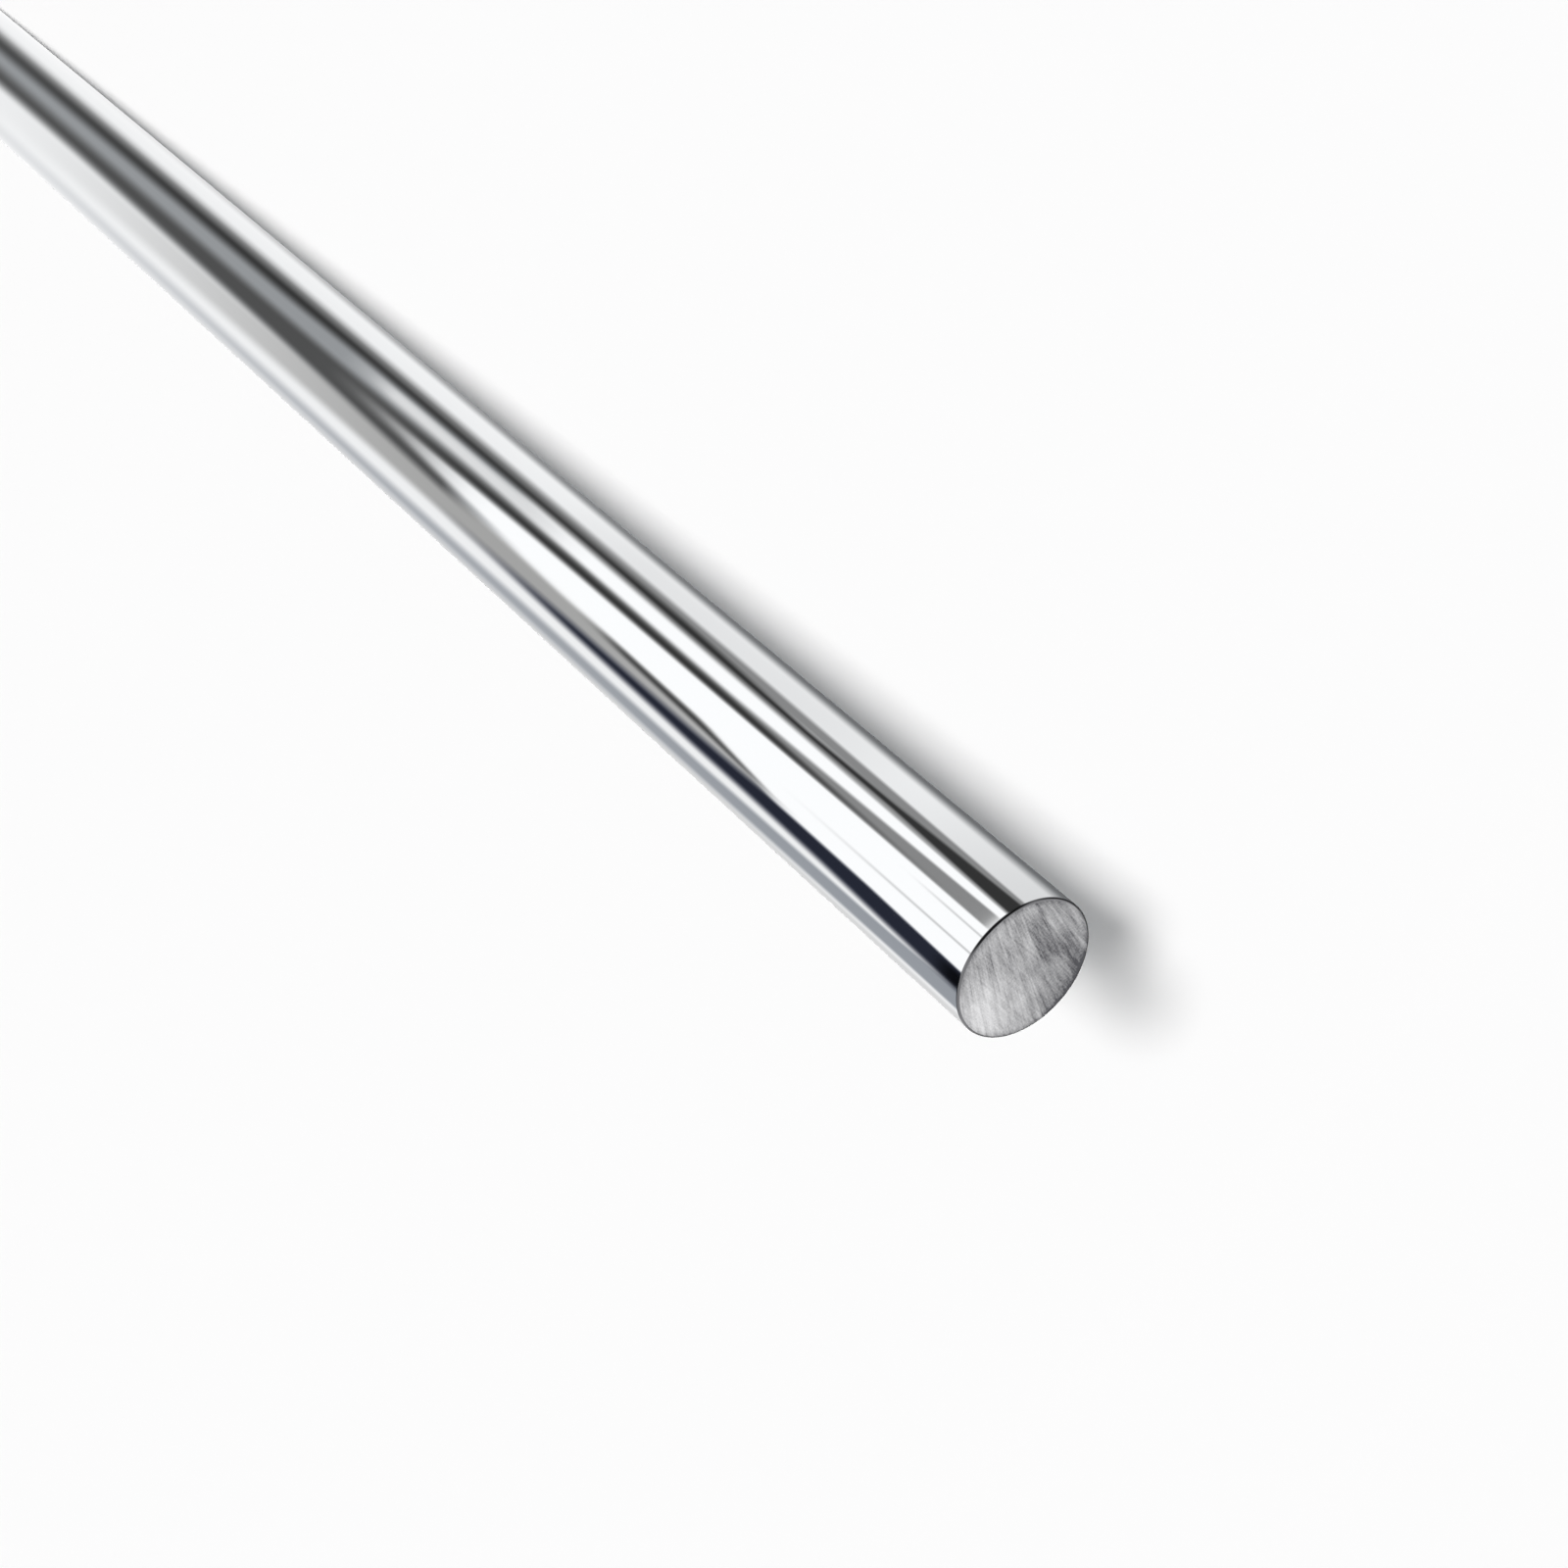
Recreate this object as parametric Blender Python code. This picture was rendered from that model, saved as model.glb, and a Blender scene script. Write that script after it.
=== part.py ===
"""Linear shaft: one straight round bar of hardened, ground and chrome-plated steel, sawn to length.

Frame: metres, +Z up along the shaft's axis, with the origin on the axis at the middle of the length.
The shaft stands on one sawn end and shows the other on top, since lying on its round side it rolls.
"""

import math

import bmesh
import bpy

# Driving dimensions
SHAFT_DIAMETER = 0.020
SHAFT_LENGTH = 0.400
# The rim that the saw leaves round each end is broken by hand to this small radius
RIM_RADIUS = 0.0003

# How finely the round forms are divided: the flats of this many sides leave a 20 mm shaft no more
# than 0.013 mm under size, which is the whole of its h6 tolerance
SHAFT_SIDES = 96
RIM_STEPS = 3

# Finishes: base colour, metallic, roughness
CHROME_PLATE = ((0.80, 0.81, 0.82), 1.0, 0.06)
SAWN_STEEL = ((0.50, 0.50, 0.51), 1.0, 0.42)


def make_material(name, finish):
    """One Principled material from a (base colour, metallic, roughness) finish."""
    colour, metallic, roughness = finish
    material = bpy.data.materials.new(name)
    material.use_nodes = True
    shader = material.node_tree.nodes["Principled BSDF"]
    shader.inputs["Base Color"].default_value = (*colour, 1.0)
    shader.inputs["Metallic"].default_value = metallic
    shader.inputs["Roughness"].default_value = roughness
    material.diffuse_color = (*colour, 1.0)
    return material


def upper_outline():
    """The turned outline of the upper half in (radius, z), from the axis on the top end down its rim."""
    arc_radius = SHAFT_DIAMETER / 2 - RIM_RADIUS
    arc_z = SHAFT_LENGTH / 2 - RIM_RADIUS
    outline = [(0.0, SHAFT_LENGTH / 2)]
    for step in range(RIM_STEPS + 1):
        turn = math.pi / 2 * step / RIM_STEPS
        outline.append((arc_radius + RIM_RADIUS * math.sin(turn), arc_z + RIM_RADIUS * math.cos(turn)))
    return outline


def shaft_outline():
    """The whole turned outline, the upper half and its mirror image in the middle of the length."""
    upper = upper_outline()
    lower = [(radius, -z) for radius, z in reversed(upper)]
    return upper + lower


def turn_about_z(outline, sides):
    """A closed body of revolution from an outline that starts and ends on the axis."""
    body = bmesh.new()
    points = [body.verts.new((radius, 0.0, z)) for radius, z in outline]
    edges = [body.edges.new(pair) for pair in zip(points, points[1:])]
    bmesh.ops.spin(
        body,
        geom=points + edges,
        cent=(0.0, 0.0, 0.0),
        axis=(0.0, 0.0, 1.0),
        angle=2 * math.pi,
        steps=sides,
        use_merge=True,
    )
    bmesh.ops.remove_doubles(body, verts=body.verts, dist=1e-6)
    bmesh.ops.recalc_face_normals(body, faces=body.faces)
    return body


def build_shaft():
    """The whole bar as one object, chrome on its side and rims and bare steel on its sawn ends."""
    body = turn_about_z(shaft_outline(), SHAFT_SIDES)
    for face in body.faces:
        is_end = abs(face.normal.z) > 0.999
        face.material_index = 1 if is_end else 0
        face.smooth = not is_end
    mesh = bpy.data.meshes.new("linear_shaft")
    body.to_mesh(mesh)
    body.free()
    mesh.materials.append(make_material("chrome_plate", CHROME_PLATE))
    mesh.materials.append(make_material("sawn_steel", SAWN_STEEL))
    shaft = bpy.data.objects.new("linear_shaft", mesh)
    bpy.context.scene.collection.objects.link(shaft)
    return shaft


def main():
    """Clears the scene's objects and builds the shaft."""
    for old in list(bpy.data.objects):
        bpy.data.objects.remove(old)
    build_shaft()


if __name__ == "__main__":
    main()
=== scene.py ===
"""Looks of the linear shaft: one ground and chrome-plated steel bar with sawn ends, in a pale studio.

Everything is in metres, +Z up along the shaft's axis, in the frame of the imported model, whose origin is
on the axis at the middle of the length. The shaft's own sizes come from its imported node. Chrome shows
nothing but what stands round it, so the studio has a light tent: a closed white room that only mirrored
rays see, with grey, dark and bright boards laid out round the foot of the shaft.
"""

import logging
import math
from dataclasses import dataclass
from enum import Enum

import bpy
import numpy as np
from mathutils import Matrix, Quaternion, Vector


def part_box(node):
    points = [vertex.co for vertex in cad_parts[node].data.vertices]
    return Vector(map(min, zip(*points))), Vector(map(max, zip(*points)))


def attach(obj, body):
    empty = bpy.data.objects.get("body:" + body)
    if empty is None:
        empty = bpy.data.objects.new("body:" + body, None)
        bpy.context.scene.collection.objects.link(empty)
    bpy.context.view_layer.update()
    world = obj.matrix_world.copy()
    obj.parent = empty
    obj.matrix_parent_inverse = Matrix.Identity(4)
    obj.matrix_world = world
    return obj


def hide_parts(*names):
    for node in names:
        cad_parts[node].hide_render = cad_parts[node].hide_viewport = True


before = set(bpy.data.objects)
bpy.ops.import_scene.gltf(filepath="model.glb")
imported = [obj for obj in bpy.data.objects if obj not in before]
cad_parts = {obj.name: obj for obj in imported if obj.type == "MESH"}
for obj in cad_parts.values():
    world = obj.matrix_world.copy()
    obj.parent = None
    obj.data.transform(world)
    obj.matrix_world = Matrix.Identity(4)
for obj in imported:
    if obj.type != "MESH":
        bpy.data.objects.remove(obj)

SHAFT_NODE = "linear_shaft"
BODY = "root"
MILLIMETRE = 0.001
# The saw's marks on both ends fan out from this x and y, beside the bar
SAW_PIVOT = (-0.015, -0.047)
# Places of a Mix node's colour sockets, which share their names with its other sockets
MIX_FIRST = 6
MIX_SECOND = 7
MIX_RESULT = 2

log = logging.getLogger("linear_shaft")


def smooth_step(amount: np.ndarray) -> np.ndarray:
    """The curve 3t^2 - 2t^3 of the amount held between 0 and 1.

    Args:
        amount: Where on the curve, of any shape.

    Returns:
        The curve's values, from 0 to 1.
    """
    held = np.clip(amount, 0.0, 1.0)
    return held * held * (3.0 - 2.0 * held)


def light_of(shade: np.ndarray) -> np.ndarray:
    """The linear light of a displayed shade, by the sRGB curve: a short line and then a power of 2.4.

    Args:
        shade: Shades from 0 to 1.

    Returns:
        The light of each, from 0 to 1.
    """
    line = shade / 12.92
    curve = ((shade + 0.055) / 1.055) ** 2.4
    return np.where(shade <= 0.04045, line, curve)


def quad_indices(rows: np.ndarray) -> np.ndarray:
    """The quads between neighbouring rows of point indices, each row a closed ring.

    Point k of a row joins point k + 1 of the same row and the same two points of the next row.

    Args:
        rows: Point indices, one row for each ring.

    Returns:
        One line of four indices for each quad.
    """
    along = np.roll(rows, -1, axis=1)
    quads = np.stack([rows[:-1], rows[1:], along[1:], along[:-1]], axis=-1)
    return quads.reshape(-1, 4)


def make_mesh(name: str, points: np.ndarray, quads: np.ndarray) -> bpy.types.Object:
    """One smooth-shaded mesh object at the origin.

    Args:
        name: The object's name.
        points: One line of x, y and z for each point, in metres.
        quads: One line of four point indices for each face, outward faces counter-clockwise.

    Returns:
        The new object, linked to the scene.
    """
    mesh = bpy.data.meshes.new(name)
    mesh.from_pydata(points.tolist(), [], quads.tolist())
    mesh.shade_smooth()
    mesh.validate()
    piece = bpy.data.objects.new(name, mesh)
    bpy.context.scene.collection.objects.link(piece)
    return piece


@dataclass(frozen=True)
class Octaves:
    """How a noise adds finer copies of itself: how many, and how strong each is beside the last."""

    detail: float
    roughness: float


PLAIN_NOISE = Octaves(2.0, 0.5)
SOFT_NOISE = Octaves(1.0, 0.5)
SMOOTH_NOISE = Octaves(1.0, 0.4)
CLOUDY_NOISE = Octaves(3.0, 0.55)


class Graph:
    """The node graph of one material, with short calls to add and join its nodes."""

    def __init__(self, name: str) -> None:
        """Starts a material that holds only its output and a Principled shader.

        Args:
            name: The material's name.
        """
        self.material = bpy.data.materials.new(name)
        self.material.use_nodes = True
        self.tree = self.material.node_tree
        self.shader = self.tree.nodes["Principled BSDF"]

    def add(self, kind: str, settings: dict | None = None, **inputs: object) -> bpy.types.Node:
        """A node of this kind, with its settings made and its inputs set or linked.

        Args:
            kind: The node's type name.
            settings: Values of the node's own properties.
            **inputs: Values or sockets by input name, with _ for a blank, or in_0 for a place.

        Returns:
            The new node.
        """
        node = self.tree.nodes.new(kind)
        for key, value in (settings or {}).items():
            setattr(node, key, value)
        for key, value in inputs.items():
            place = int(key[3:]) if key.startswith("in_") else key.replace("_", " ")
            self.set(node.inputs[place], value)
        return node

    def set(self, socket: bpy.types.NodeSocket, value: object) -> None:
        """Links the socket if the value is one too, and otherwise sets it.

        Args:
            socket: An input of some node.
            value: The number, colour or vector for it, or the output to link to it.
        """
        if isinstance(value, bpy.types.NodeSocket):
            self.tree.links.new(value, socket)
        else:
            socket.default_value = value

    def math(self, operation: str, *values: object) -> bpy.types.NodeSocket:
        """The result of a Math node.

        Args:
            operation: The node's operation, by its Blender name.
            *values: The numbers or sockets that it works on, in order.

        Returns:
            The socket with the result.
        """
        inputs = {f"in_{place}": value for place, value in enumerate(values)}
        return self.add("ShaderNodeMath", {"operation": operation}, **inputs).outputs[0]

    def weigh(self, *terms: tuple[float, bpy.types.NodeSocket], start: float = 0.0) -> object:
        """The start plus the sum of each weight times its socket's difference from one half.

        Args:
            *terms: Pairs of a weight and a socket with a value from 0 to 1.
            start: The value where all the sockets are at one half.

        Returns:
            The socket with the sum.
        """
        total: object = start
        for weight, socket in terms:
            total = self.math("MULTIPLY_ADD", self.math("SUBTRACT", socket, 0.5), weight, total)
        return total

    def noise(self, vector: object, octaves: Octaves, size: float = 1.0) -> bpy.types.NodeSocket:
        """A Noise texture.

        Args:
            vector: The socket with the coordinates.
            octaves: The noise's detail.
            size: How far apart its lumps are, in the coordinates' own units.

        Returns:
            The socket with the value from 0 to 1.
        """
        node = self.add(
            "ShaderNodeTexNoise",
            Vector=vector,
            Scale=1.0 / size,
            Detail=octaves.detail,
            Roughness=octaves.roughness,
        )
        return node.outputs[0]

    def place(
        self,
        shift: tuple[float, float, float] = (0.0, 0.0, 0.0),
        scale: tuple[float, float, float] = (1.0, 1.0, 1.0),
    ) -> bpy.types.NodeSocket:
        """Object coordinates, scaled and then shifted.

        Args:
            shift: What is added to x, y and z.
            scale: What they are multiplied by first.

        Returns:
            The socket with the coordinates.
        """
        coordinates = self.add("ShaderNodeTexCoord").outputs["Object"]
        mapping = self.add("ShaderNodeMapping", Vector=coordinates, Location=shift, Scale=scale)
        return mapping.outputs[0]

    def blend(self, share: object, first: object, second: object) -> bpy.types.NodeSocket:
        """A colour between two others.

        Args:
            share: How much of the second colour, as a number or a socket.
            first: Red, green and blue where the share is 0.
            second: Red, green and blue where the share is 1.

        Returns:
            The socket with the colour.
        """
        node = self.add("ShaderNodeMix", {"data_type": "RGBA"}, in_0=share)
        self.set(node.inputs[MIX_FIRST], (*first, 1.0))
        self.set(node.inputs[MIX_SECOND], (*second, 1.0))
        return node.outputs[MIX_RESULT]

    def metal(self, colour: object, roughness: object, normal: object) -> None:
        """Makes the material's shader a bare metal.

        Args:
            colour: The socket with its colour.
            roughness: The socket with its roughness.
            normal: The socket with its relief.
        """
        self.set(self.shader.inputs["Base Color"], colour)
        self.set(self.shader.inputs["Metallic"], 1.0)
        self.set(self.shader.inputs["Roughness"], roughness)
        self.set(self.shader.inputs["Normal"], normal)


@dataclass(frozen=True)
class ChromePlate:
    """Hard chrome, ground round the bar and then polished, so that it mirrors almost sharply."""

    name: str = "chrome_plate_polished"
    colour: tuple[float, float, float] = (0.80, 0.81, 0.82)
    roughness_low: float = 0.025
    roughness_high: float = 0.055
    grinding_pitch: float = 0.00012
    grinding_depth: float = 4e-8
    cloud_size: float = 0.012
    ring_width: float = 18.0
    ring_share: float = 0.6
    # Painted shade: the rims' colour is far darker than bare steel, so that they show as a dark line
    # round each end.
    rim_dulled_and_shaded_colour: tuple[float, float, float] = (0.21, 0.21, 0.22)
    rim_roughness: float = 0.18
    rim_margin: float = 0.10 * MILLIMETRE
    rim_fade: float = 0.08 * MILLIMETRE

    def material(self, rim_level: float) -> bpy.types.Material:
        """The plate's material: fine rings left by grinding, faint clouds, and dull rims whose colour is
        darkened further as painted shade, so that each rim shows as a dark line.

        Args:
            rim_level: How far from the middle of the length the rims start, in metres.

        Returns:
            The new material.
        """
        graph = Graph(self.name)
        rings = graph.place(scale=(self.ring_width, self.ring_width, 1.0 / self.grinding_pitch))
        ring_marks = graph.noise(rings, PLAIN_NOISE)
        clouds = graph.noise(graph.place(), CLOUDY_NOISE, self.cloud_size)
        mix = graph.weigh((self.ring_share, ring_marks), (1.0, clouds), start=0.5)
        roughness = graph.add(
            "ShaderNodeMapRange",
            Value=mix,
            To_Min=self.roughness_low,
            To_Max=self.roughness_high,
        ).outputs[0]
        bump = graph.add(
            "ShaderNodeBump",
            Strength=1.0,
            Distance=self.grinding_depth,
            Height=ring_marks,
        )
        height = graph.add("ShaderNodeSeparateXYZ", Vector=graph.place()).outputs[2]
        rim = graph.add(
            "ShaderNodeMapRange",
            Value=graph.math("ABSOLUTE", height),
            From_Min=rim_level - self.rim_margin,
            From_Max=rim_level - self.rim_margin + self.rim_fade,
        ).outputs[0]
        # On the rims the colour blends to dull steel, darkened further as painted shade.
        colour = graph.blend(rim, self.colour, self.rim_dulled_and_shaded_colour)
        dulled = graph.add("ShaderNodeMix", in_0=rim, in_2=roughness, in_3=self.rim_roughness)
        graph.metal(colour, dulled.outputs[0], bump.outputs[0])
        graph.material.diffuse_color = (*self.colour, 1.0)
        return graph.material


@dataclass(frozen=True)
class PaintedShadePatch:
    """A round patch of painted shade on an end, darker than the rest, or of painted highlight, brighter,
    if its loss is negative.
    """

    place: tuple[float, float]
    size: float
    loss: float


@dataclass(frozen=True)
class Streaks:
    """One layer of saw marks: how far apart, how long, and how strong in tone and in relief."""

    pitch: float
    stretch: float
    layer: float
    tone: float
    relief: float


@dataclass(frozen=True)
class SawnSteel:
    """Bare steel as the saw leaves it: marks that fan out across the end, scratches and patches, with
    patches of painted shade and highlight and a painted shade towards the rim.
    """

    name: str = "sawn_steel"
    dark: tuple[float, float, float] = (0.10, 0.10, 0.11)
    bright: tuple[float, float, float] = (0.84, 0.84, 0.85)
    middle: float = 0.49
    reach: float = 0.050
    broad: Streaks = Streaks(pitch=0.0008, stretch=9.0, layer=0.0, tone=0.74, relief=0.6)
    fine: Streaks = Streaks(pitch=0.00026, stretch=18.0, layer=3.7, tone=0.50, relief=0.5)
    cuts: Streaks = Streaks(pitch=0.00042, stretch=26.0, layer=8.1, tone=-0.18, relief=0.0)
    cut_onset: tuple[float, float] = (0.60, 0.70)
    scratches: Streaks = Streaks(pitch=0.00024, stretch=26.0, layer=0.0, tone=0.36, relief=0.3)
    grain_size: float = 0.00028
    grain_tone: float = 0.40
    patch_size: float = 0.0045
    patch_tone: float = 0.45
    mark_depth: float = 9e-6
    roughness: float = 0.38
    fine_roughness: float = 0.18
    patch_roughness: float = 0.15
    # Painted shade and highlight: dark patches for the dark that the end mirrors, and one bright patch
    # with a negative loss.
    shade_patches: tuple[PaintedShadePatch, ...] = (
        PaintedShadePatch((-0.0046, -0.0035), 0.0045, 0.16),
        PaintedShadePatch((-0.0044, 0.0020), 0.0055, 0.30),
        PaintedShadePatch((-0.0060, 0.0075), 0.0050, 0.24),
        PaintedShadePatch((-0.0008, 0.0102), 0.0075, 0.44),
        PaintedShadePatch((0.0085, -0.0005), 0.0090, -0.42),
    )
    # Painted shade: the tone darkens towards the rim between these two radii.
    edge_start: float = 0.0088
    edge_end: float = 0.0098
    edge_shade_loss: float = 0.24
    plain_view: tuple[float, float, float] = (0.5, 0.5, 0.5)

    def fan(self, graph: Graph) -> tuple[object, object]:
        """Coordinates across and along the saw marks, both in metres.

        Across is the angle about the saw's pivot times the reach, and along is the distance from it.

        Args:
            graph: The material's graph.

        Returns:
            The sockets across and along.
        """
        local = graph.place(shift=(-SAW_PIVOT[0], -SAW_PIVOT[1], 0.0))
        parts = graph.add("ShaderNodeSeparateXYZ", Vector=local).outputs
        angle = graph.math("ARCTAN2", parts[0], parts[1])
        across = graph.math("MULTIPLY", angle, self.reach)
        squares = graph.math("MULTIPLY_ADD", parts[0], parts[0], graph.math("POWER", parts[1], 2.0))
        return across, graph.math("SQRT", squares)

    def marks(self, graph: Graph, streaks: Streaks) -> object:
        """Noise drawn out along the saw marks.

        Args:
            graph: The material's graph.
            streaks: The layer of marks.

        Returns:
            The socket with the value from 0 to 1.
        """
        across, along = self.fan(graph)
        vector = graph.add(
            "ShaderNodeCombineXYZ",
            X=graph.math("DIVIDE", across, streaks.pitch),
            Y=graph.math("DIVIDE", along, streaks.pitch * streaks.stretch),
            Z=streaks.layer,
        )
        return graph.noise(vector.outputs[0], PLAIN_NOISE)

    def nearness(
        self, graph: Graph, place: tuple[float, float], inner: float, outer: float
    ) -> object:
        """A smooth fall from 1 at the inner distance from a place of the end to 0 at the outer one.

        Args:
            graph: The material's graph.
            place: x and y of the place, in metres.
            inner: The distance up to which it is 1, in metres.
            outer: The distance from which it is 0, in metres.

        Returns:
            The socket with the value from 0 to 1.
        """
        local = graph.place(shift=(-place[0], -place[1], 0.0), scale=(1.0, 1.0, 0.0))
        distance = graph.add("ShaderNodeVectorMath", {"operation": "LENGTH"}, in_0=local).outputs[1]
        fall = graph.add(
            "ShaderNodeMapRange",
            {"interpolation_type": "SMOOTHSTEP"},
            Value=distance,
            From_Min=inner,
            From_Max=outer,
            To_Min=1.0,
            To_Max=0.0,
        )
        return fall.outputs[0]

    def with_painted_shade(self, graph: Graph, tone: object) -> object:
        """The tone after the painted shade or highlight of every patch and the painted shade towards the
        rim.

        Args:
            graph: The material's graph.
            tone: The socket with the tone before.

        Returns:
            The socket with the tone after.
        """
        # Each patch paints shade onto the tone, or a highlight where its loss is negative.
        for shade_patch in self.shade_patches:
            near = self.nearness(graph, shade_patch.place, 0.0, shade_patch.size)
            tone = graph.math("MULTIPLY_ADD", near, -shade_patch.loss, tone)
        # Painted shade: the tone darkens towards the rim.
        inside = self.nearness(graph, (0.0, 0.0), self.edge_start, self.edge_end)
        rim_shade = graph.math("SUBTRACT", 1.0, inside)
        return graph.math("MULTIPLY_ADD", rim_shade, -self.edge_shade_loss, tone)

    def material(self) -> bpy.types.Material:
        """The sawn end's material: tone, roughness and relief from the same marks.

        Returns:
            The new material.
        """
        graph = Graph(self.name)
        broad = self.marks(graph, self.broad)
        fine = self.marks(graph, self.fine)
        cuts = graph.add(
            "ShaderNodeMapRange",
            Value=self.marks(graph, self.cuts),
            From_Min=self.cut_onset[0],
            From_Max=self.cut_onset[1],
        ).outputs[0]
        length = self.scratches.pitch * self.scratches.stretch
        crossing = graph.place(scale=(1.0 / self.scratches.pitch, 1.0 / length, 1.0))
        scratches = graph.noise(crossing, SMOOTH_NOISE)
        grain = graph.noise(graph.place(), SOFT_NOISE, self.grain_size)
        patches = graph.noise(graph.place(), PLAIN_NOISE, self.patch_size)
        tone = graph.weigh(
            (self.broad.tone, broad),
            (self.fine.tone, fine),
            (self.scratches.tone, scratches),
            (self.grain_tone, grain),
            (self.patch_tone, patches),
            start=self.middle,
        )
        tone = self.with_painted_shade(graph, graph.math("MULTIPLY_ADD", cuts, self.cuts.tone, tone))
        roughness = graph.weigh(
            (self.fine_roughness, fine),
            (self.patch_roughness, patches),
            start=self.roughness,
        )
        height = graph.weigh(
            (self.broad.relief, broad),
            (self.fine.relief, fine),
            (self.scratches.relief, scratches),
            start=0.5,
        )
        bump = graph.add("ShaderNodeBump", Strength=1.0, Distance=self.mark_depth, Height=height)
        graph.metal(graph.blend(tone, self.dark, self.bright), roughness, bump.outputs[0])
        graph.material.diffuse_color = (*self.plain_view, 1.0)
        return graph.material


@dataclass(frozen=True)
class PaleFloor:
    """The floor's finish: matt and almost white."""

    name: str = "pale_floor"
    colour: tuple[float, float, float] = (0.92, 0.92, 0.92)

    def material(self) -> bpy.types.Material:
        """The floor's material, fully matt and without any gloss.

        Returns:
            The new material.
        """
        graph = Graph(self.name)
        graph.set(graph.shader.inputs["Base Color"], (*self.colour, 1.0))
        graph.set(graph.shader.inputs["Roughness"], 1.0)
        graph.set(graph.shader.inputs["Specular IOR Level"], 0.0)
        return graph.material


@dataclass(frozen=True)
class TentLight:
    """The glow of the light tent, taken from a colour attribute of its mesh."""

    name: str = "tent_light"
    layer: str = "light"

    def material(self) -> bpy.types.Material:
        """A material that glows with the attribute.

        It glows only on paths that met no matt surface before, so that the chrome throws no glare
        from the tent onto the floor.

        Returns:
            The new material.
        """
        graph = Graph(self.name)
        layer = graph.add("ShaderNodeAttribute", {"attribute_name": self.layer})
        matt_bounces = graph.add("ShaderNodeLightPath").outputs["Diffuse Depth"]
        strength = graph.math("LESS_THAN", matt_bounces, 0.5)
        glow = graph.add("ShaderNodeEmission", Color=layer.outputs["Color"], Strength=strength)
        output = graph.tree.nodes["Material Output"]
        graph.tree.links.new(glow.outputs[0], output.inputs["Surface"])
        graph.tree.nodes.remove(graph.shader)
        return graph.material


@dataclass(frozen=True)
class Ripple:
    """A sine wave over the fan of saw marks: its height, and how fast it runs each way."""

    height: float
    along: float
    across: float
    order: float

    def at(self, along: np.ndarray, across: np.ndarray, order: int) -> np.ndarray:
        """The height times the sine of the three rates times their amounts, added up.

        Args:
            along: How far along the marks, in mark lengths.
            across: How far across them, in metres.
            order: Which of the waves of marks it is for.

        Returns:
            The ripple at each place.
        """
        return self.height * np.sin(self.along * along + self.across * across + self.order * order)


@dataclass(frozen=True)
class SawMarks:
    """The relief of the saw's marks: waves of three pitches across a fan about the saw's pivot."""

    pitches: tuple[float, ...] = (0.0008, 0.00047, 0.0021)
    depths: tuple[float, ...] = (16e-6, 6e-6, 18e-6)
    length: float = 0.009
    slow_wander: Ripple = Ripple(0.8, along=2.1, across=0.0, order=1.7)
    quick_wander: Ripple = Ripple(0.5, along=4.3, across=600.0, order=0.0)
    mean_swell: float = 0.7
    swell: Ripple = Ripple(0.3, along=3.1, across=350.0, order=1.0)
    edge_fade: float = 0.0012

    def depth(self, grid: np.ndarray, turn: float, flat_radius: float) -> np.ndarray:
        """How deep the saw cut at each point of an end.

        Across the marks, the angle about the pivot times its distance from the axis runs through
        the waves, which wander slowly and swell along the mark. Towards the rim the depth fades to
        nothing.

        Args:
            grid: x and y of the end's points.
            turn: How far the fan is turned about the axis, in radians.
            flat_radius: The radius of the end's flat, in metres.

        Returns:
            The depth below the end's plane, in metres, never less than 0.
        """
        x = grid[..., 0] * math.cos(turn) + grid[..., 1] * math.sin(turn)
        y = grid[..., 1] * math.cos(turn) - grid[..., 0] * math.sin(turn)
        away_x = x - SAW_PIVOT[0]
        away_y = y - SAW_PIVOT[1]
        across = np.arctan2(away_x, away_y) * math.hypot(*SAW_PIVOT)
        along = np.hypot(away_x, away_y) / self.length
        depth = np.zeros(across.shape)
        for order, (pitch, deep) in enumerate(zip(self.pitches, self.depths)):
            slow = self.slow_wander.at(along, across, order)
            wander = slow + self.quick_wander.at(along, across, order)
            wave = (1 + np.sin(2 * np.pi * across / pitch + wander)) / 2
            depth += deep * wave * (self.mean_swell + self.swell.at(along, across, order))
        inset = flat_radius - np.hypot(grid[..., 0], grid[..., 1])
        return depth * smooth_step(inset / self.edge_fade)


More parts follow.
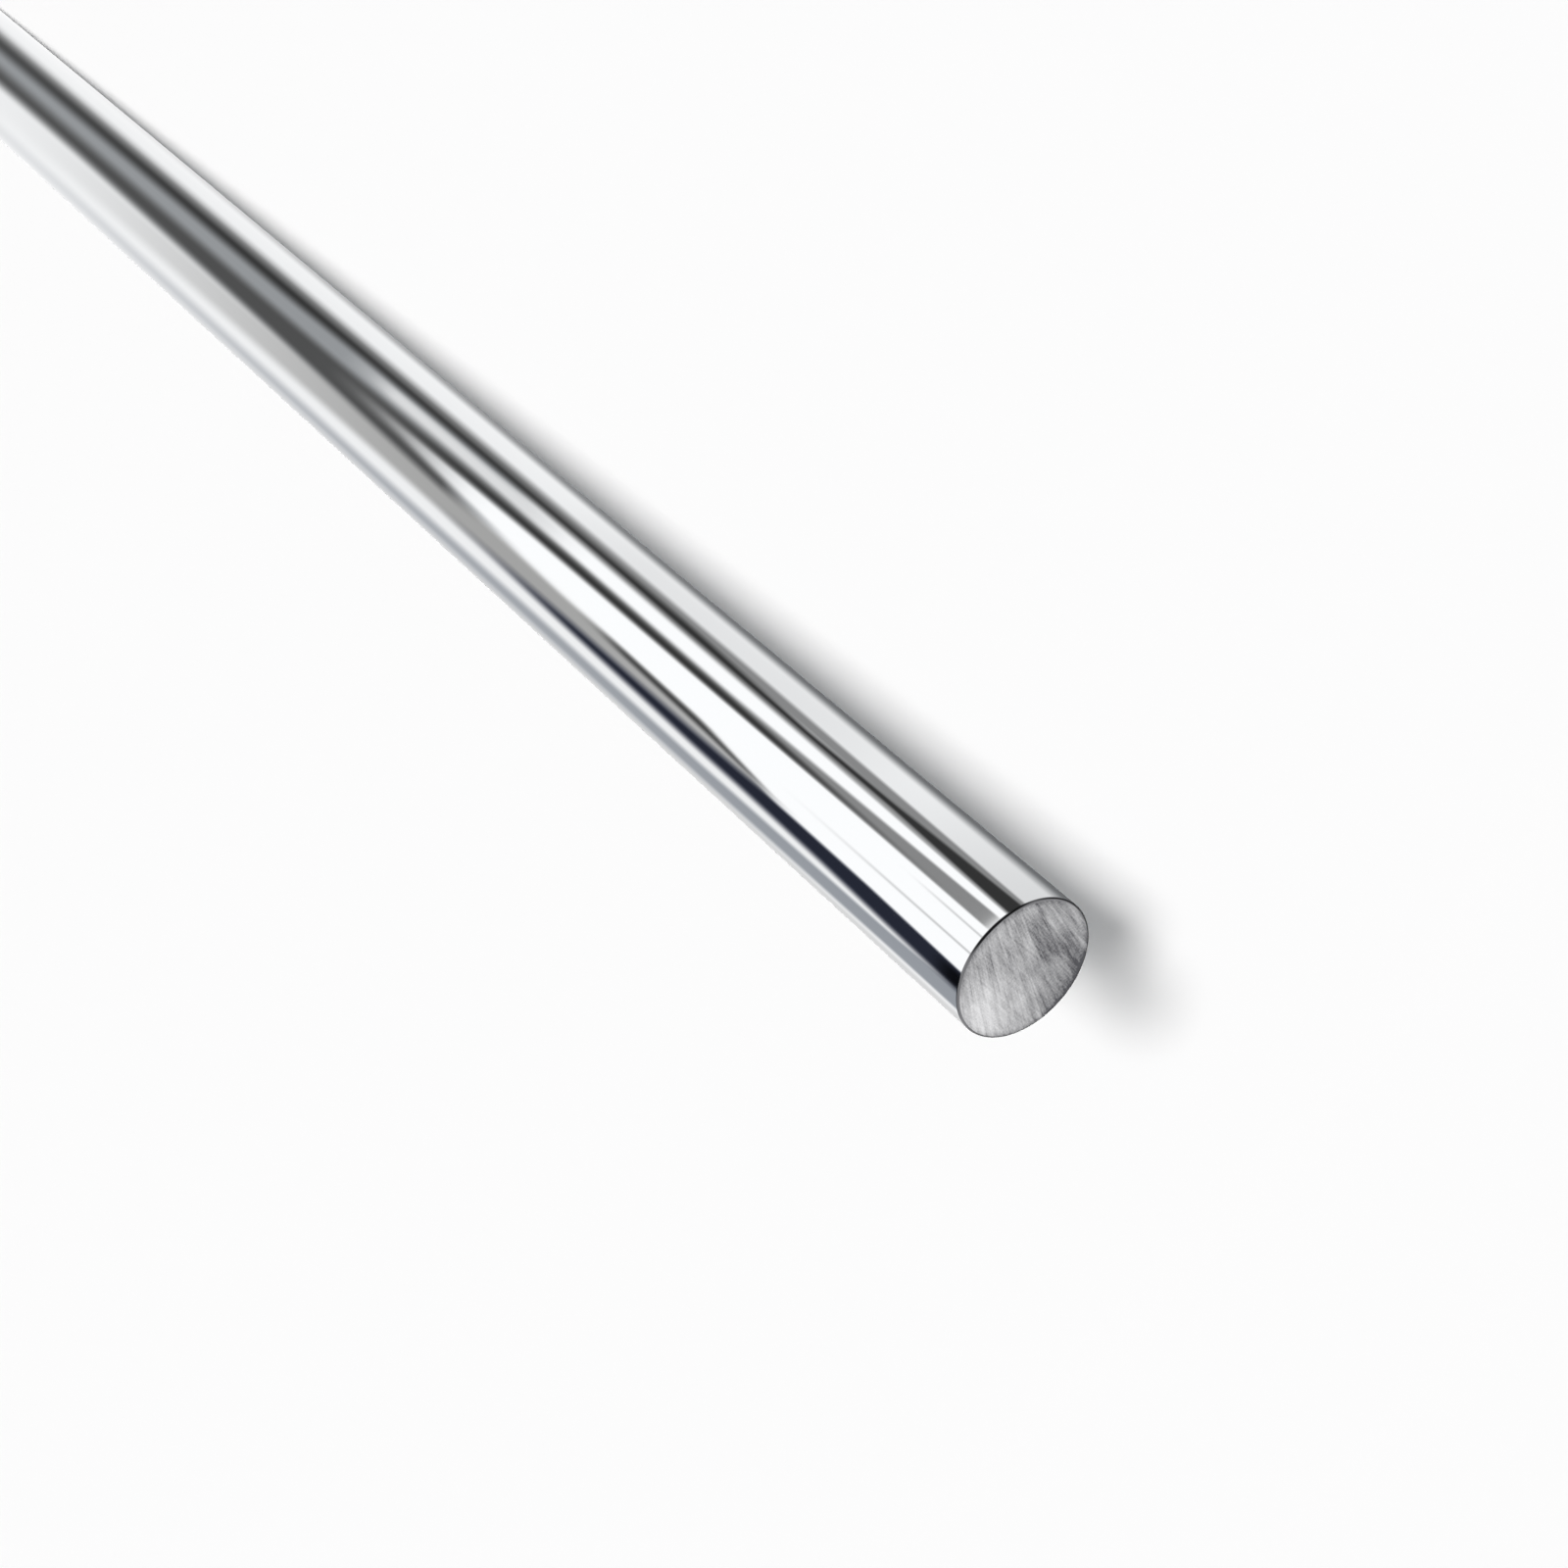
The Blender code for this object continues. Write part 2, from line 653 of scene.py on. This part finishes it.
@dataclass
class Shaft:
    """The bar itself, with its round side, its broken rims and the saw marks on its two ends."""

    radius: float
    half_length: float
    rim_radius: float = 0.3 * MILLIMETRE
    disc_steps: int = 160
    rim_steps: int = 5
    side_steps: int = 20
    side_crowding: float = 7.0
    marks: SawMarks = SawMarks()
    lower_turn: float = 2.2

    @classmethod
    def from_node(cls, node: str) -> "Shaft":
        """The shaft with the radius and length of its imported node.

        Args:
            node: The node's name.

        Returns:
            The shaft, not built yet.
        """
        low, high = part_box(node)
        return cls(radius=(high.x - low.x) / 2, half_length=(high.z - low.z) / 2)

    def disc(self) -> tuple[np.ndarray, np.ndarray]:
        """The flat of an end as a square grid bent onto a disc, which has no pole.

        A point at (a, b) of the square goes to the larger of the two as its radius, and to an eighth
        of a turn times their ratio as its angle from that side's middle, so that the points of the
        edge stand at even angles.

        Returns:
            The grid of x and y, and the grid's edge as point indices, counter-clockwise.
        """
        steps = self.disc_steps
        even = np.linspace(-1, 1, steps + 1)
        a, b = np.meshgrid(even, even, indexing="ij")
        wide = np.abs(a) >= np.abs(b)
        long_side = np.where(wide, a, b)
        short_side = np.where(wide, b, a)
        ratio = np.divide(short_side, long_side, out=np.zeros_like(a), where=long_side != 0)
        turn = np.where(wide, ratio * np.pi / 4, np.pi / 2 - ratio * np.pi / 4)
        reach = long_side * (self.radius - self.rim_radius)
        grid = np.stack([reach * np.cos(turn), reach * np.sin(turn)], axis=-1)
        place = np.arange((steps + 1) ** 2).reshape(steps + 1, steps + 1)
        sides = (place[-1, :-1], place[:0:-1, -1], place[0, :0:-1], place[:-1, 0])
        return grid, np.concatenate(sides)

    def outline(self) -> np.ndarray:
        """The turned outline between the two flats, as (radius, z) from the upper rim to the lower.

        Each rim is a quarter circle. The rows of the side crowd towards the rims by the law
        (e^(kt) - 1) / (e^k - 1), so that the shading of the rim doesn't reach along the side.

        Returns:
            One line for each ring, without the edges of the two flats.
        """
        turn = np.linspace(0, np.pi / 2, self.rim_steps + 1)[1:]
        flat = self.radius - self.rim_radius
        level = self.half_length - self.rim_radius
        rim_reach = flat + self.rim_radius * np.sin(turn)
        rim = np.stack([rim_reach, level + self.rim_radius * np.cos(turn)], -1)
        even = np.linspace(0, 1, self.side_steps + 1)[1:]
        crowd = np.expm1(self.side_crowding * even) / np.expm1(self.side_crowding)
        side = np.stack([np.full(crowd.shape, self.radius), level * (1 - crowd)], -1)
        upper = np.concatenate([rim, side])
        lower = upper[-2::-1] * (1, -1)
        return np.concatenate([upper, lower])

    def build(self) -> bpy.types.Object:
        """The whole bar as one closed mesh: the upper flat, the turned side and the lower flat.

        Returns:
            The new object, with chrome on its side and sawn steel on its two flats.
        """
        grid, edge = self.disc()
        steps = self.disc_steps
        flat_points = grid.reshape(-1, 2)
        flat_radius = self.radius - self.rim_radius
        upper_marks = self.marks.depth(flat_points, 0.0, flat_radius)
        lower_marks = self.marks.depth(flat_points, self.lower_turn, flat_radius)
        upper = np.column_stack([flat_points, self.half_length - upper_marks])
        lower = np.column_stack([flat_points, lower_marks - self.half_length])

        around = np.arange(4 * steps) * (np.pi / 2 / steps) - np.pi / 4
        ring = np.stack([np.cos(around), np.sin(around)], -1)
        outline = self.outline()
        side_xy = outline[:, None, :1] * ring[None]
        side_z = np.broadcast_to(outline[:, None, 1:], (*side_xy.shape[:2], 1))
        side = np.concatenate([side_xy, side_z], axis=-1).reshape(-1, 3)

        first_side = len(upper)
        first_lower = first_side + len(side)
        side_rows = np.arange(len(side)).reshape(len(outline), -1) + first_side
        rows = np.concatenate([edge[None], side_rows, edge[None] + first_lower])

        place = np.arange(len(upper)).reshape(steps + 1, steps + 1)
        corners = (place[:-1, :-1], place[1:, :-1], place[1:, 1:], place[:-1, 1:])
        flat_quads = np.stack(corners, -1).reshape(-1, 4)
        quads = np.concatenate([flat_quads, quad_indices(rows), flat_quads[:, ::-1] + first_lower])

        piece = make_mesh("linear_shaft_finished", np.concatenate([upper, side, lower]), quads)
        is_side = np.zeros(len(quads), dtype=bool)
        is_side[len(flat_quads):len(quads) - len(flat_quads)] = True
        piece.data.materials.append(ChromePlate().material(self.half_length - self.rim_radius))
        piece.data.materials.append(SawnSteel().material())
        piece.data.polygons.foreach_set("material_index", np.where(is_side, 0, 1).astype(np.int32))
        piece.data.update()
        return piece

    def place(self) -> bpy.types.Object:
        """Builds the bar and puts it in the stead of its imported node.

        Returns:
            The bar's object.
        """
        piece = self.build()
        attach(piece, BODY)
        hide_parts(SHAFT_NODE)
        return piece


class Tint(Enum):
    """The cast of a board, as factors on its shade."""

    NEUTRAL = (1.0, 1.0, 1.0)
    COOL = (0.985, 1.0, 1.015)
    BLUE = (0.972, 0.995, 1.033)
    NIGHT = (0.86, 0.93, 1.20)
    WARM = (1.006, 1.0, 0.99)


@dataclass(frozen=True)
class Viewpoint:
    """Where the camera stands, and the frame it takes."""

    back: float = 0.27431
    above_end: float = 0.20486
    aim: tuple[float, float, float] = (0.00252, 0.0, 0.14980)
    roll: float = 131.525
    lens: float = 64.374
    sensor: float = 36.0
    nearest: float = 0.01
    farthest: float = 50.0

    def location(self, shaft: Shaft) -> Vector:
        """The camera's place, in front of the shaft and above its upper end."""
        return Vector((0.0, -self.back, shaft.half_length + self.above_end))

    def build(self, shaft: Shaft) -> bpy.types.Object:
        """The camera, aimed and then rolled about its line of sight.

        Args:
            shaft: The shaft that it looks at.

        Returns:
            The new camera, which the scene then uses.
        """
        data = bpy.data.cameras.new("camera")
        data.lens = self.lens
        data.sensor_width = self.sensor
        data.clip_start = self.nearest
        data.clip_end = self.farthest
        camera = bpy.data.objects.new("camera", data)
        sight = Vector(self.aim) - self.location(shaft)
        upright = sight.to_track_quat("-Z", "Y")
        rolled = upright @ Quaternion((0.0, 0.0, 1.0), math.radians(self.roll))
        camera.matrix_world = Matrix.Translation(self.location(shaft)) @ rolled.to_matrix().to_4x4()
        bpy.context.scene.collection.objects.link(camera)
        bpy.context.scene.camera = camera
        return camera


@dataclass(frozen=True)
class Mirror:
    """Where the shaft shows each place of the floor, seen from the camera's viewpoint.

    A place shows at a drop, in millimetres below the upper end, and at a side, from -1 at the outline
    towards +X to 1 at the outline towards -X.
    """

    radius: float
    end_height: float
    back: float
    above_end: float
    least_reach: float = 1e-5

    @classmethod
    def of(cls, shaft: Shaft, viewpoint: Viewpoint) -> "Mirror":
        """The mirror that this shaft is from this viewpoint."""
        return cls(shaft.radius, 2 * shaft.half_length, viewpoint.back, viewpoint.above_end)

    def floor_radius(self, drop: np.ndarray, side: float = 0.0) -> np.ndarray:
        """How far from the axis the floor is that shows at this drop.

        The ray goes down as steeply as it came, so its two level reaches are as its two heights.

        Args:
            drop: Millimetres below the upper end.
            side: The side at which it shows.

        Returns:
            The distance from the axis, in metres.
        """
        inset = self.radius * math.sqrt(1 - side * side)
        fall = drop * MILLIMETRE
        return inset + (self.end_height - fall) * (self.back - inset) / (self.above_end + fall)

    def shown_at(self, distance: np.ndarray, azimuth: np.ndarray) -> tuple[np.ndarray, np.ndarray]:
        """The drop and side at which a place of the floor shows.

        The mirroring spot faces half-way between the camera and the place, corrected once for its
        being one radius off the axis. The drop follows from like triangles on its two sides.

        Args:
            distance: The place's distance from the axis, in metres.
            azimuth: Its angle from the camera's direction, positive towards +X, in radians.

        Returns:
            The drops in millimetres and the sides.
        """
        lean = self.radius * np.sin(azimuth / 2) * (1 / self.back - 1 / distance)
        facing = (azimuth - lean) / 2
        outline_angle = math.acos(self.radius / self.back)
        side = -np.sin(np.clip(facing / outline_angle, -1.0, 1.0) * np.pi / 2)
        inset = self.radius * np.cos(facing)
        near = self.back - inset
        far = np.maximum(distance - inset, self.least_reach)
        fall = (self.end_height * near - self.above_end * far) / (far + near)
        return fall / MILLIMETRE, side


@dataclass(frozen=True)
class Card:
    """A plain board of the tent, laid out by where it shows in the shaft.

    Each row of the outline is (drop in mm, from side, to side), and between rows the outline runs
    straight. Past its first and last row it keeps their sides. The edges are soft, and softer further
    down the shaft, where the floor is further from the sharp plane.
    """

    name: str
    shade: float
    rows: tuple[tuple[float, float, float], ...]
    tint: Tint = Tint.NEUTRAL
    starts: float = -1000.0
    stops: float = 1000.0
    fade_in: float = 12.0
    fade_out: float = 12.0
    edge: float = 0.035
    growth: float = 0.0008

    def cover(self, drop: np.ndarray, side: np.ndarray) -> np.ndarray:
        """How much of each place the board covers.

        Args:
            drop: The drops at which the places show, in millimetres.
            side: The sides at which they show.

        Returns:
            The share covered, from 0 to 1.
        """
        drops, lows, highs = np.array(self.rows).T
        low = np.interp(drop, drops, lows)
        high = np.interp(drop, drops, highs)
        soft = self.edge + self.growth * np.clip(drop, 0.0, None)
        across = smooth_step((side - low) / soft + 0.5) * smooth_step((high - side) / soft + 0.5)
        below_start = smooth_step((drop - self.starts) / self.fade_in + 0.5)
        above_stop = smooth_step((self.stops - drop) / self.fade_out + 0.5)
        return across * below_start * above_stop


BOARDS = (
    Card(
        "left wing", 0.81, ((0, -1.2, -0.945),),
        stops=190, fade_out=300, edge=0.06, growth=0.0,
    ),
    Card("right wing", 0.843, ((0, 0.60, 0.92),), stops=14, fade_out=40),
    Card(
        "right ground", 0.89, ((0, 0.62, 0.90),),
        starts=35, stops=105, fade_in=30, fade_out=30, edge=0.12,
    ),
    Card(
        "blue-grey board", 0.60,
        ((0, -0.91, -0.73), (14, -0.91, -0.765), (60, -0.94, -0.80), (150, -0.95, -0.81)),
        Tint.BLUE, stops=240, fade_out=480,
    ),
    Card(
        "tan board", 0.588,
        ((42, -0.53, -0.31), (100, -0.56, -0.33), (130, -0.60, -0.28), (290, -0.60, -0.24)),
        Tint.WARM, starts=20, stops=205, fade_in=280, fade_out=280,
    ),
    Card(
        "mid-grey ground", 0.59, ((118, -0.30, 0.50), (320, -0.10, 0.50)),
        Tint.COOL, starts=118, fade_in=16,
    ),
    Card(
        "dark ground", 0.31,
        ((125, -0.36, 0.12), (150, -0.32, 0.11), (200, -0.24, 0.08), (290, -0.155, 0.07)),
        starts=131,
    ),
    Card(
        "dark blue board", 0.17,
        (
            (0, -0.74, -0.49), (15, -0.715, -0.46), (30, -0.685, -0.46),
            (50, -0.67, -0.51), (60, -0.67, -0.525), (120, -0.62, -0.55),
        ),
        Tint.NIGHT, stops=116, fade_out=50, edge=0.09, growth=0.0004,
    ),
    Card(
        "night board", 0.05, ((0, -0.71, -0.57),),
        Tint.NIGHT, stops=4, fade_out=5, edge=0.08,
    ),
    Card(
        "broad white board", 0.992,
        (
            (0, -0.54, 0.085), (20, -0.51, 0.08), (42, -0.505, 0.075), (60, -0.335, 0.06),
            (100, -0.30, 0.045), (130, -0.225, 0.02), (150, -0.155, 0.0),
        ),
        stops=150, fade_out=60,
    ),
    Card(
        "first seam", 0.79, ((0, -0.304, -0.278),),
        stops=26, fade_out=36, edge=0.02, growth=0.001,
    ),
    Card("second seam", 0.82, ((0, -0.060, -0.034),), stops=11, fade_out=12, edge=0.02),
    Card(
        "narrow white board", 0.988,
        ((0, 0.262, 0.36), (30, 0.225, 0.385), (60, 0.20, 0.39), (100, 0.20, 0.41)),
        stops=117, fade_out=16,
    ),
    Card(
        "pale board", 0.86, ((100, 0.19, 0.39), (165, 0.17, 0.38)),
        starts=108, stops=166, fade_in=16, fade_out=16,
    ),
    Card(
        "dark wedge", 0.23, ((42, -0.475, -0.465), (60, -0.425, -0.36), (90, -0.385, -0.325)),
        starts=42, stops=86, fade_in=14, fade_out=14,
    ),
    Card(
        "grey board", 0.525,
        ((0, 0.075, 0.27), (40, 0.075, 0.21), (60, 0.075, 0.185), (150, 0.08, 0.20)),
        starts=0.9, stops=150, fade_in=0.25, fade_out=60,
    ),
    Card(
        "dark post", 0.21,
        ((14, 0.085, 0.12), (60, 0.063, 0.15), (100, 0.05, 0.155), (150, 0.02, 0.125)),
        starts=30, stops=150, fade_in=50, fade_out=50,
    ),
    Card("half-tone board", 0.53, ((0, 0.50, 0.605), (60, 0.50, 0.63))),
    Card(
        "light grey board", 0.60, ((0, 0.365, 0.43), (60, 0.395, 0.44), (100, 0.415, 0.45)),
        stops=117,
    ),
    Card(
        "dark board", 0.20,
        (
            (0, 0.39, 0.56), (25, 0.43, 0.505), (45, 0.425, 0.49),
            (75, 0.435, 0.54), (100, 0.45, 0.54), (165, 0.42, 0.54), (200, 0.37, 0.54),
        ),
    ),
    Card(
        "right shade", 0.408, ((100, 0.92, 1.2), (290, 0.955, 1.2)),
        Tint.COOL, stops=195, fade_out=340, edge=0.13, growth=0.0,
    ),
)


@dataclass(frozen=True)
class Panel:
    """A dark panel of the tent's wall or roof, by its directions from the shaft's upper end in degrees.

    Its edges are very soft, so that the round side turns smoothly from light to dark in every view.
    """

    name: str
    shade: float
    azimuth: float
    half_width: float
    elevations: tuple[float, float]
    soft_across: float = 44.0
    soft_up: float = 20.0

    def cover(self, azimuth: np.ndarray, elevation: np.ndarray) -> np.ndarray:
        """How much of each place the panel covers.

        Each edge is a smooth step, and the angle from the panel's middle is taken the short way round.

        Args:
            azimuth: The places' angles from the camera's direction, in degrees.
            elevation: Their angles above the level of the upper end, in degrees.

        Returns:
            The share covered, from 0 to 1.
        """
        away = np.abs((azimuth - self.azimuth + 180.0) % 360.0 - 180.0)
        low, high = self.elevations
        across = smooth_step((self.half_width - away) / self.soft_across + 0.5)
        above_low = smooth_step((elevation - low) / self.soft_up + 0.5)
        below_high = smooth_step((high - elevation) / self.soft_up + 0.5)
        return across * above_low * below_high


PANELS = (
    Panel(
        "front panel", 0.17, azimuth=-22.0, half_width=48.0, elevations=(-20.0, 140.0),
        soft_across=30.0,
    ),
    Panel("right panel", 0.28, azimuth=-148.0, half_width=60.0, elevations=(-21.0, 26.0)),
    Panel("roof panel", 0.30, azimuth=0.0, half_width=400.0, elevations=(84.0, 140.0), soft_up=12.0),
)


@dataclass
class LightTent:
    """The closed room round the shaft, seen by mirrored rays only, with its boards painted on."""

    mirror: Mirror
    floor_z: float
    boards: tuple[Card, ...] = BOARDS
    panels: tuple[Panel, ...] = PANELS
    base_shade: float = 0.933
    side_sky_shade: float = 0.85
    back_sky_shade: float = 0.98
    back_sky_start: float = 110.0
    back_sky_blend: float = 50.0
    sky_elevation: float = -12.0
    sky_blend: float = 6.0
    reflectance: float = 0.81
    azimuth_steps: int = 560
    drop_rows: int = 130
    drop_crowding: float = 6.0
    outer_rows: int = 12
    corner_rows: int = 5
    wall_rows: int = 14
    dome_rows: int = 12
    first_drop: float = -20.0
    last_drop: float = 390.0
    floor_reach: float = 1.5
    wall_radius: float = 1.6
    wall_top: float = 1.0
    peak: float = 1.9
    peak_hole: float = 0.004
    lift: float = 0.0005
    hidden_from: tuple[str, ...] = ("camera", "diffuse", "transmission", "volume_scatter", "shadow")

    def outline(self) -> np.ndarray:
        """The tent's turned outline as (radius, z): floor, corner, wall and dome.

        The floor's rows crowd towards the drop of 0, where each drop is the crowding length times
        the hyperbolic sine of an even step. The corner is a quarter circle, and the dome a quarter
        ellipse.

        Returns:
            One line for each ring, from the foot of the shaft outwards and up.
        """
        first, last = np.arcsinh(np.array([self.first_drop, self.last_drop]) / self.drop_crowding)
        drops = self.drop_crowding * np.sinh(np.linspace(last, first, self.drop_rows))
        inner = self.mirror.floor_radius(drops)
        outer = np.linspace(inner[-1], self.floor_reach, self.outer_rows)[1:]
        floor = np.concatenate([inner, outer])
        corner = self.wall_radius - self.floor_reach
        base = self.floor_z + self.lift
        bend = np.linspace(0, np.pi / 2, self.corner_rows + 1)[1:]
        bend_reach = self.floor_reach + corner * np.sin(bend)
        bend_points = np.stack([bend_reach, base + corner * (1 - np.cos(bend))], -1)
        wall = np.linspace(base + corner, self.wall_top, self.wall_rows)[1:]
        wall_points = np.stack([np.full(wall.shape, self.wall_radius), wall], -1)
        rise = np.linspace(0, np.pi / 2, self.dome_rows + 1)[1:-1]
        dome_z = self.wall_top + (self.peak - self.wall_top) * np.sin(rise)
        dome = np.stack([self.wall_radius * np.cos(rise), dome_z], -1)
        top = np.array([[self.peak_hole, self.peak]])
        floor_points = np.stack([floor, np.full(floor.shape, base)], -1)
        return np.concatenate([floor_points, bend_points, wall_points, dome, top])

    def board_shades(self, drop: np.ndarray, side: np.ndarray) -> np.ndarray:
        """Shades of the floor and the lower wall, each board over those before it.

        Args:
            drop: The drops at which the places show, in millimetres.
            side: The sides at which they show.

        Returns:
            Red, green and blue shades from 0 to 1.
        """
        shades = np.full((*drop.shape, 3), self.base_shade)
        for board in self.boards:
            mask = board.cover(drop, side)[..., None]
            shades = shades * (1 - mask) + board.shade * np.array(board.tint.value) * mask
        return shades

    def room_shades(
        self, floor_shades: np.ndarray, azimuth: np.ndarray, elevation: np.ndarray
    ) -> np.ndarray:
        """Shades of the whole room: the floor's, and above them the pale sky with its dark panels.

        The sky is palest behind the shaft. The panels keep the light off the shaft's rim.

        Args:
            floor_shades: What the boards give at each place.
            azimuth: The angle from the camera's direction in degrees, positive towards +X.
            elevation: The angle above the level of the upper end, in degrees.

        Returns:
            Red, green and blue shades from 0 to 1.
        """
        behind = smooth_step((np.abs(azimuth) - self.back_sky_start) / self.back_sky_blend)
        sky = self.side_sky_shade + (self.back_sky_shade - self.side_sky_shade) * behind
        above = smooth_step((elevation - self.sky_elevation) / self.sky_blend + 0.5)[..., None]
        shades = floor_shades * (1 - above) + sky[..., None] * above
        for panel in self.panels:
            mask = panel.cover(azimuth, elevation)[..., None]
            shades = shades * (1 - mask) + panel.shade * mask
        return shades

    def build(self) -> bpy.types.Object:
        """The tent's mesh, facing inwards, with its light in a colour attribute.

        Returns:
            The tent's object.
        """
        outline = self.outline()
        azimuth = np.linspace(-np.pi, np.pi, self.azimuth_steps, endpoint=False)
        distance = np.repeat(outline[:, :1], self.azimuth_steps, axis=1)
        height = np.repeat(outline[:, 1:], self.azimuth_steps, axis=1)
        angle = np.broadcast_to(azimuth, distance.shape)
        points = np.stack([distance * np.sin(angle), -distance * np.cos(angle), height], axis=-1)

        drop, side = self.mirror.shown_at(distance, angle)
        end_z = self.floor_z + self.mirror.end_height
        elevation = np.degrees(np.arctan2(height - end_z, distance))
        shades = self.room_shades(self.board_shades(drop, side), np.degrees(angle), elevation)
        light = light_of(shades) / self.reflectance

        rows = np.arange(distance.size).reshape(distance.shape)
        tent = make_mesh("light_tent", points.reshape(-1, 3), quad_indices(rows))
        colours = np.concatenate([light, np.ones((*distance.shape, 1))], axis=-1).astype(np.float32)
        finish = TentLight()
        layer = tent.data.color_attributes.new(finish.layer, "FLOAT_COLOR", "POINT")
        layer.data.foreach_set("color", colours.ravel())
        tent.data.materials.append(finish.material())
        for rays in self.hidden_from:
            setattr(tent, f"visible_{rays}", False)
        return tent


@dataclass(frozen=True)
class Lamp:
    """A distant lamp behind the camera, by the way its light goes and its width in degrees."""

    name: str
    direction: tuple[float, float, float]
    strength: float
    width: float
    colour: tuple[float, float, float] = (1.0, 0.991, 0.983)

    def build(self) -> bpy.types.Object:
        """The lamp, which the floor gets its light from and polished metal doesn't mirror.

        Returns:
            The new lamp.
        """
        data = bpy.data.lights.new(self.name, "SUN")
        data.energy = self.strength
        data.color = self.colour
        data.angle = math.radians(self.width)
        lamp = bpy.data.objects.new(self.name, data)
        turn = Vector(self.direction).to_track_quat("-Z", "Y")
        lamp.matrix_world = turn.to_matrix().to_4x4()
        lamp.visible_glossy = False
        bpy.context.scene.collection.objects.link(lamp)
        return lamp


@dataclass
class Studio:
    """The pale floor, the lamps that cast the shaft's shadow, and the white surroundings."""

    floor_z: float
    floor_radius: float = 9.0
    floor_rings: int = 24
    floor_sides: int = 96
    floor_hole: float = 0.0005
    lamps: tuple[Lamp, ...] = (
        Lamp("lower_lamp", direction=(-0.0281, 0.8360, -0.5480), strength=2.885, width=2.4),
        Lamp("upper_lamp", direction=(-0.0491, 0.8183, -0.5727), strength=2.885, width=2.0),
    )
    fill_strength: float = 0.05
    fill_colour: tuple[float, float, float] = (0.66, 0.82, 1.0)
    surround_colour: tuple[float, float, float] = (0.975, 0.975, 0.975)

    def build_floor(self) -> bpy.types.Object:
        """A round floor, whose rings stand at the squares of even steps.

        Returns:
            The floor's object.
        """
        reach = self.floor_radius * np.linspace(self.floor_hole, 1, self.floor_rings) ** 2
        around = np.linspace(0, 2 * np.pi, self.floor_sides, endpoint=False)
        x = reach[:, None] * np.cos(around)
        y = -reach[:, None] * np.sin(around)
        points = np.stack([x, y, np.full(x.shape, self.floor_z)], -1).reshape(-1, 3)
        rows = np.arange(x.size).reshape(x.shape)
        floor = make_mesh("floor", points, quad_indices(rows))
        floor.data.materials.append(PaleFloor().material())
        floor.visible_glossy = False
        return floor

    def build_surround(self) -> bpy.types.World:
        """As pale as the lit floor to the camera and to mirrored rays, so that no horizon shows.

        Everything else gets a dim blue fill light from it.

        Returns:
            The new world.
        """
        world = bpy.data.worlds.new("surround")
        world.use_nodes = True
        tree = world.node_tree
        background = tree.nodes["Background"]
        path = tree.nodes.new("ShaderNodeLightPath")
        seen = path.outputs["Is Camera Ray"]
        for name in ("Is Glossy Ray", "Is Transmission Ray"):
            either = tree.nodes.new("ShaderNodeMath")
            either.operation = "MAXIMUM"
            tree.links.new(seen, either.inputs[0])
            tree.links.new(path.outputs[name], either.inputs[1])
            seen = either.outputs[0]
        light = tree.nodes.new("ShaderNodeMix")
        light.data_type = "RGBA"
        fill = Vector(self.fill_colour) * self.fill_strength
        light.inputs[MIX_FIRST].default_value = (*fill, 1.0)
        light.inputs[MIX_SECOND].default_value = (*self.surround_colour, 1.0)
        tree.links.new(seen, light.inputs[0])
        tree.links.new(light.outputs[MIX_RESULT], background.inputs["Color"])
        bpy.context.scene.world = world
        return world


def main() -> None:
    """Builds the shaft and its studio in order, and reports each piece."""
    logging.basicConfig(level=logging.INFO, format="%(name)s: %(message)s")
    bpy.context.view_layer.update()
    bpy.context.scene.view_settings.view_transform = "Standard"

    shaft = Shaft.from_node(SHAFT_NODE)
    piece = shaft.place()
    mesh = piece.data
    log.info("%s has %d points and %d faces", piece.name, len(mesh.vertices), len(mesh.polygons))

    viewpoint = Viewpoint()
    camera = viewpoint.build(shaft)
    stand = tuple(round(value, 4) for value in viewpoint.location(shaft))
    log.info("%s stands at %s", camera.name, stand)

    studio = Studio(floor_z=-shaft.half_length)
    lamps = [lamp.build() for lamp in studio.lamps]
    for part in (studio.build_floor(), *lamps, studio.build_surround()):
        log.info("%s is set", part.name)
    tent = LightTent(Mirror.of(shaft, viewpoint), floor_z=-shaft.half_length).build()
    log.info("%s carries %s", tent.name, ", ".join(part.name for part in (*BOARDS, *PANELS)))


if __name__ == "__main__":
    main()
